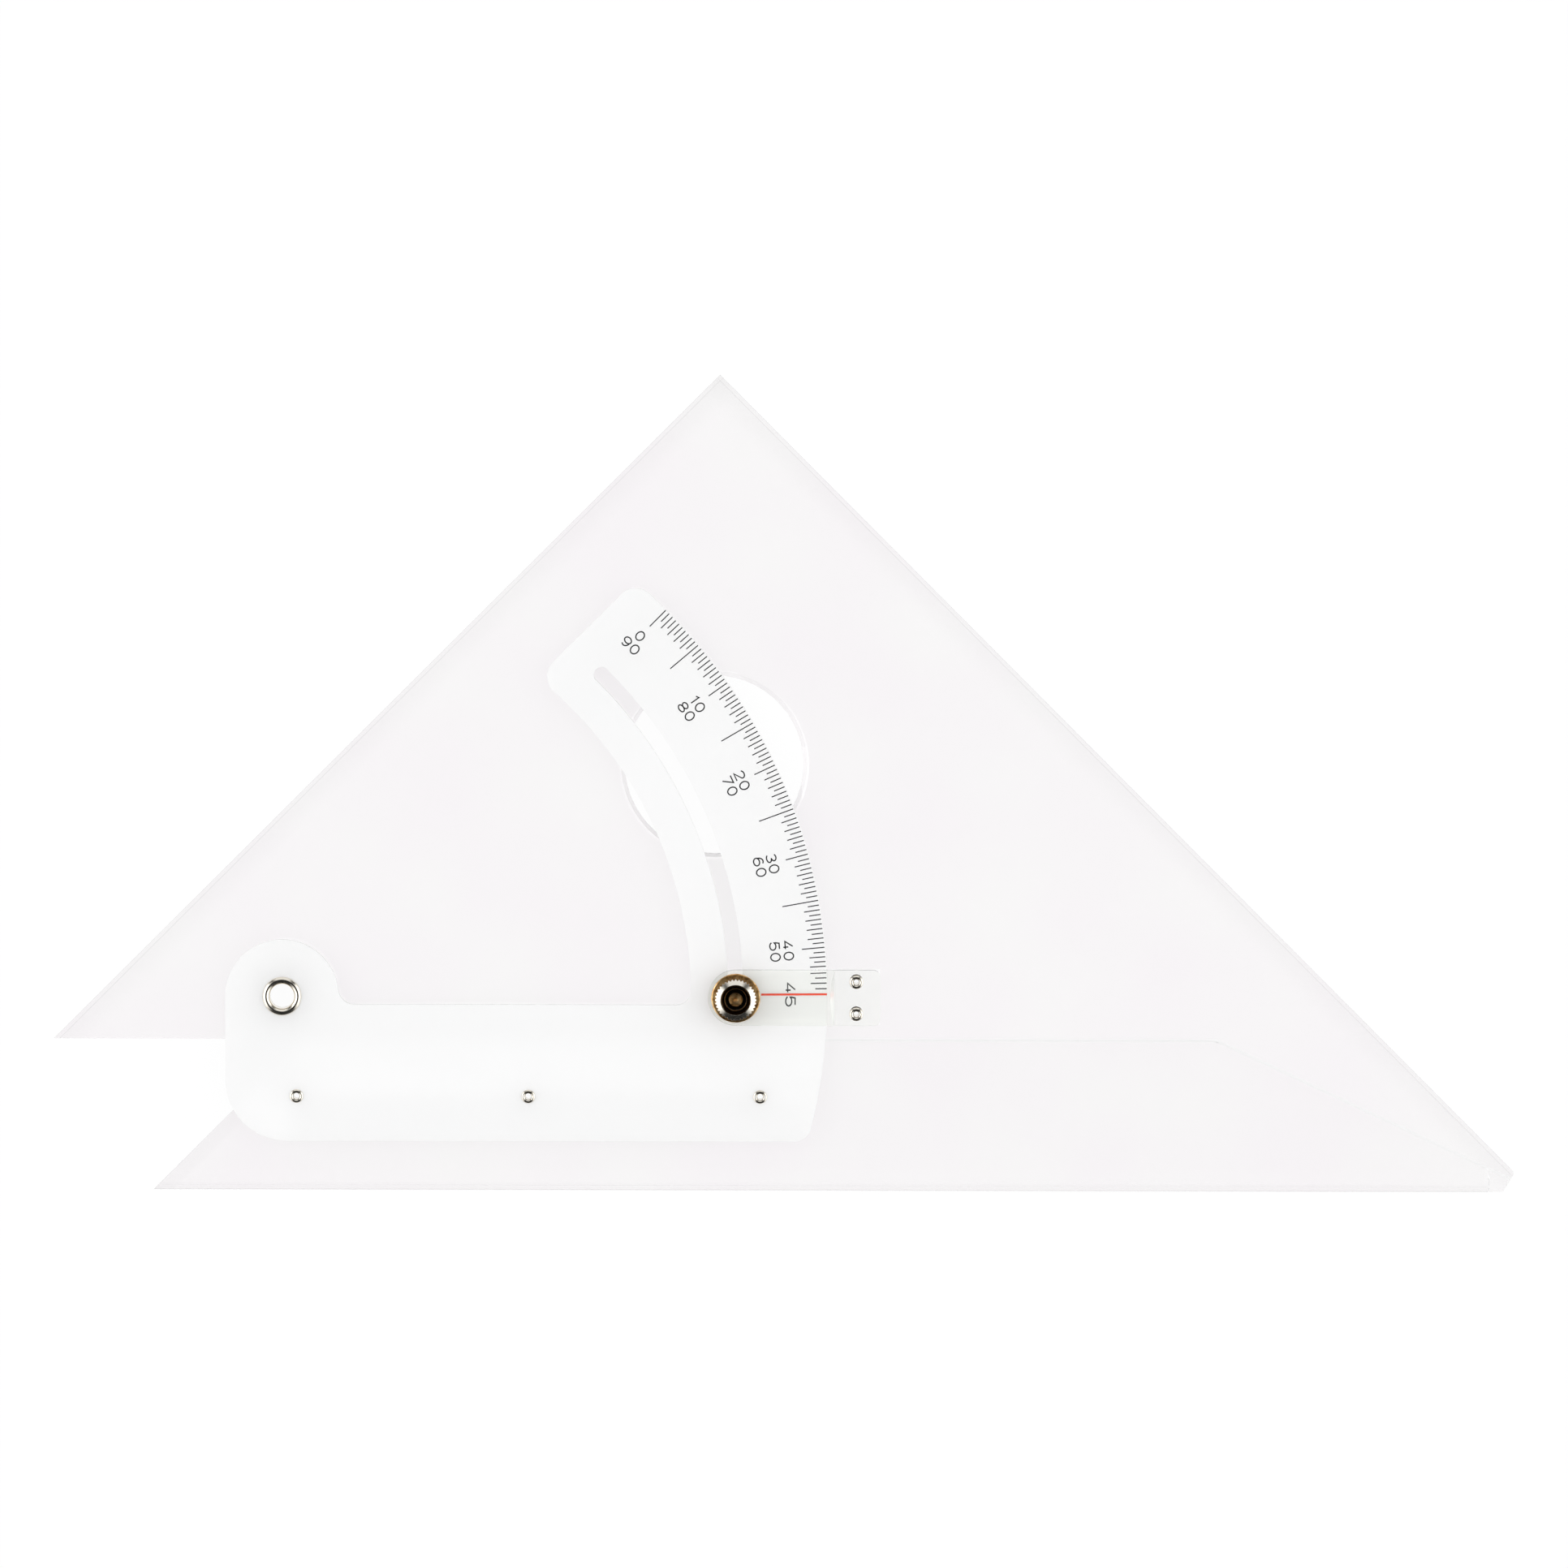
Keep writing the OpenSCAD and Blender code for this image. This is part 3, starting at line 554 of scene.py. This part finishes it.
# Stands for a CAD part: its own triangles with their loose corners joined, smooth across slight bends, and
# with a rounded edge at sharp ones.
def softenPart(name, body, slot, finish, width):
    source = nodes[name].data
    places = np.empty(len(source.vertices) * 3, np.float32)
    source.vertices.foreach_get("co", places)
    corners = np.empty(len(source.loops), np.int32)
    source.loops.foreach_get("vertex_index", corners)
    places = places.reshape(-1, 3)
    rounded = np.round(places * softening["steps"]).astype(int)
    _, first, joined = np.unique(rounded, axis=0, return_index=True, return_inverse=True)
    faces = joined.ravel()[corners].reshape(-1, 3)
    faces = faces[(faces != np.roll(faces, 1, 1)).all(1)]
    mesh = bpy.data.meshes.new(name + "_soft")
    mesh.from_pydata(places[first].tolist(), [], faces.tolist())
    mesh.materials.append(finishes[finish])
    facing = np.empty(len(mesh.polygons) * 3, np.float32)
    mesh.polygons.foreach_get("normal", facing)
    mesh.polygons.foreach_set("use_smooth", np.abs(facing.reshape(-1, 3)[:, 2]) < softening["level"])
    mesh.set_sharp_from_angle(angle=math.radians(softening["smoothBelow"]))
    piece = bpy.data.objects.new(name + "_soft", mesh)
    bpy.context.scene.collection.objects.link(piece)
    if width:
        bevel = piece.modifiers.new("soft edge", "BEVEL")
        bevel.width, bevel.segments = width * mm, softening["segments"]
        bevel.limit_method, bevel.angle_limit = "ANGLE", math.radians(softening["roundAbove"])
        bevel.mark_sharp = True
    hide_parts(name)
    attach(piece, body)


for name, part in parts.items():
    softenPart(name, *part)
print("parts softened:", len(parts))

scale = {
    "turn": 0.3,  # degrees that the print sits round from the arm's own zero
    "marks": 91,  # one every half degree
    "readings": (0, 10, 20, 30, 40, 45),  # degrees: all but the last also show what is left to 90
    "outer": 120.25,  # mm, where the marks end
    "top": 5.0,  # mm, the arm's upper face
    "ink": 0.02,  # mm thick
    "line": 0.23,  # mm, width of a mark
    "lengths": {"half": 2.5, "whole": 3.5, "ten": 5.0, "five": 8.0},
    "outerRow": 112.25,  # mm, radius of the middle of each row of numerals
    "innerRow": 109.3,
    "stroke": 0.28,
    "pitch": 2.46,  # between the two figures of a number
    "pitchOfTen": 0.76,  # times that in the number 10, whose 1 is narrow
    "size": (1.7, 2.09),  # of a figure's centre line
}


# Carries a flat band along a path: each station's two sides lie half the width out along the path's normal,
# mitred at bends, at the lower and the upper level, and quads join each station's ring of four to the next.
def strokeMesh(path, width, low, high, closed=False):
    path = np.asarray(path, float)
    ahead = np.roll(path, -1, 0) - path
    behind = path - np.roll(path, 1, 0)
    if not closed:
        ahead[-1], behind[0] = behind[-1], ahead[0]
    ahead /= np.linalg.norm(ahead, axis=1)[:, None]
    behind /= np.linalg.norm(behind, axis=1)[:, None]
    middle = ahead + behind
    middle /= np.maximum(np.linalg.norm(middle, axis=1), 1e-9)[:, None]
    normal = np.stack([-middle[:, 1], middle[:, 0]], 1)
    mitre = 1 / np.maximum((middle * ahead).sum(1), 0.5)
    side = normal * (mitre * width / 2)[:, None]
    left, right = path + side, path - side
    count = len(path)
    ring = np.zeros((count, 4, 3))
    ring[:, 0, :2] = ring[:, 3, :2] = left
    ring[:, 1, :2] = ring[:, 2, :2] = right
    ring[:, :2, 2], ring[:, 2:, 2] = low, high
    i = np.arange(count if closed else count - 1)
    j = (i + 1) % count
    k = np.arange(4)
    a, b = i[:, None] * 4 + k, i[:, None] * 4 + (k + 1) % 4
    c, d = j[:, None] * 4 + (k + 1) % 4, j[:, None] * 4 + k
    faces = np.stack([a, b, c, d], -1).reshape(-1, 4)
    if not closed:
        last = (count - 1) * 4
        faces = np.vstack([faces, [[3, 2, 1, 0]], [[last, last + 1, last + 2, last + 3]]])
    return ring.reshape(-1, 3), faces


def joinMeshes(meshes):
    starts = np.cumsum([0] + [len(points) for points, _ in meshes[:-1]])
    return (
        np.vstack([points for points, _ in meshes]),
        np.vstack([faces + start for (_, faces), start in zip(meshes, starts)]),
    )


# An arc of an ellipse: centre plus (cosine, sine) of evenly spaced angles, times its two half widths.
def arc(centre, halfWidths, fromDegrees, toDegrees, count=14):
    turn = np.radians(np.linspace(fromDegrees, toDegrees, count))
    return np.stack([centre[0] + halfWidths[0] * np.cos(turn), centre[1] + halfWidths[1] * np.sin(turn)], 1)


# A whole ellipse, by the same formula, without its last point, which is its first
def ellipse(centre, halfWidths):
    return arc(centre, halfWidths, 0, 360, 33)[:-1]


# Strokes of the ten figures, as a stencil pen draws them, in a cell from -1 to 1 each way. True is closed.
def figureStrokes():
    bowl = [(0.8, 1), (-0.68, 1), (-0.86, 0.2)]
    six = np.vstack([
        arc((0.12, 0.02), (0.98, 0.98), 52, 180, 16), arc((0.0, -0.38), (1.0, 0.62), 170, 520, 30),
    ])
    return {
        "0": [(ellipse((0, 0), (1, 1)), True)],
        "1": [([(-0.72, 0.66), (0, 1), (0, -1)], False)],
        "2": [(np.vstack([arc((0, 0.44), (0.95, 0.56), 165, -35, 18), [(-1, -1), (1, -1)]]), False)],
        "3": [
            (arc((0, 0.5), (0.85, 0.5), 150, -90, 18), False),
            (arc((0, -0.5), (1, 0.5), 90, -155, 18), False),
        ],
        "4": [([(0.42, 1), (-1, -0.58), (1, -0.58)], False), ([(0.5, 0.05), (0.5, -1)], False)],
        "5": [(np.vstack([bowl, arc((0, -0.36), (1, 0.64), 150, -160, 24)]), False)],
        "6": [(six, False)],
        "7": [([(-1, 1), (1, 1), (-0.5, -1)], False)],
        "8": [(ellipse((0, 0.5), (0.86, 0.5)), True), (ellipse((0, -0.5), (1, 0.5)), True)],
        "9": [(-six, False)],
    }


# Each mark runs inwards along a ray from the pivot. A figure's point goes out along its reading's ray by its
# own height, and across it, clockwise, by its width.
def makeScale(s):
    low, high = s["top"], s["top"] + s["ink"]
    marks = []
    for step in range(s["marks"]):
        length = "half" if step % 2 else "ten" if step % 20 == 0 else "five" if step % 10 == 0 else "whole"
        turn = math.radians(45 - step / 2 + s["turn"])
        way = np.array([math.cos(turn), math.sin(turn)])
        inner = s["outer"] - s["lengths"][length]
        marks.append(strokeMesh([way * inner, way * s["outer"]], s["line"], low, high))
    points, faces = joinMeshes(marks)
    addMesh("scale_marks", points * mm, faces, blackInk, "ruler")
    figures = figureStrokes()
    strokes = []
    for reading in s["readings"]:
        turn = math.radians(45 - reading + s["turn"])
        out = np.array([math.cos(turn), math.sin(turn)])
        along = np.array([math.sin(turn), -math.cos(turn)])
        rows = [(str(reading), s["outerRow"])]
        if reading < 45:
            rows.append((str(90 - reading), s["innerRow"]))
        for text, radius in rows:
            pitch = s["pitch"] * (s["pitchOfTen"] if text == "10" else 1)
            for place, figure in enumerate(text):
                shift = (place - (len(text) - 1) / 2) * pitch
                for path, closed in figures[figure]:
                    path = np.asarray(path, float) * np.array(s["size"]) / 2
                    flat = out * radius + along * shift + path[:, :1] * along + path[:, 1:] * out
                    strokes.append(strokeMesh(flat, s["stroke"], low, high, closed))
    points, faces = joinMeshes(strokes)
    addMesh("scale_numerals", points * mm, faces, blackInk, "ruler")


makeScale(scale)

hairline = {
    "ends": [(105.8, 0.56), (120.3, 0.64)],  # mm, just inside the lens and just past the marks
    "width": 0.38,
    "level": (5.07, 5.095),  # mm, on the window's underside
}
points, faces = strokeMesh(hairline["ends"], hairline["width"], *hairline["level"])
addMesh("hairline", points * mm, faces, redInk, "triangle")
print("scale, numerals and hairline made")

bpy.context.scene.view_settings.view_transform = "Standard"
